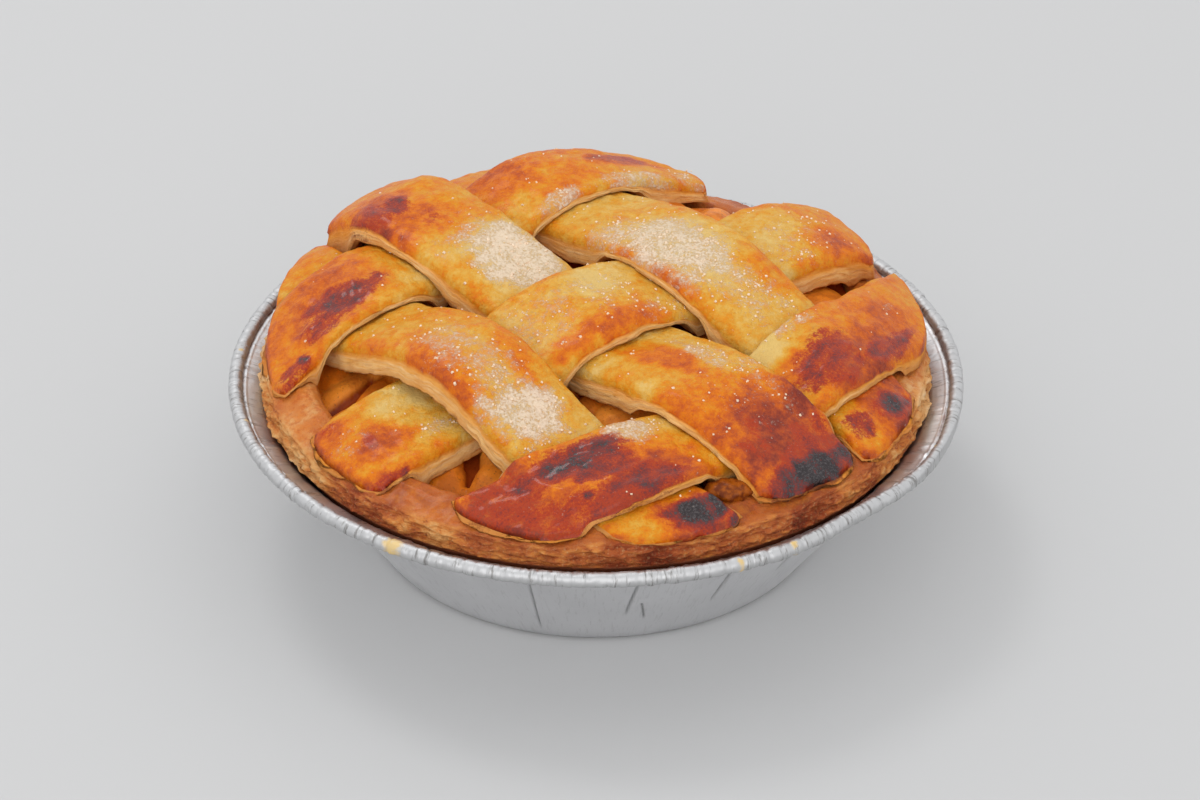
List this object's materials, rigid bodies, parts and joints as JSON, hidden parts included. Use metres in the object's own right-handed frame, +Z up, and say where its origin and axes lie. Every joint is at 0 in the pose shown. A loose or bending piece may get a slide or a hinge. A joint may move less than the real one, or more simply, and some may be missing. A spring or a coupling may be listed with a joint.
{
  "type": "apple pie",
  "caption": "Small round apple pie with a woven lattice top of golden pastry, sugared and scorched at its high spots, in the foil tin that it was baked in.",
  "frame": {"origin": "middle of the underside of the tin's flat base, on the surface that the pie stands on", "axes": "+Z up; +Y away from the front, towards the side where the lattice stands highest; +X to the right along the front"},
  "size_m": [0.127, 0.127, 0.0491],
  "materials": {
    "foil": "bright thin pressed foil",
    "crust": null,
    "apple_filling": null,
    "lattice_pastry": null
  },
  "bodies": {
    "root": {"tin": "foil", "bottom_crust": "crust", "filling": "apple_filling", "lattice_left": "lattice_pastry", "lattice_middle": "lattice_pastry", "lattice_right": "lattice_pastry", "lattice_back": "lattice_pastry", "lattice_centre": "lattice_pastry", "lattice_front": "lattice_pastry"}
  },
  "joints": []
}
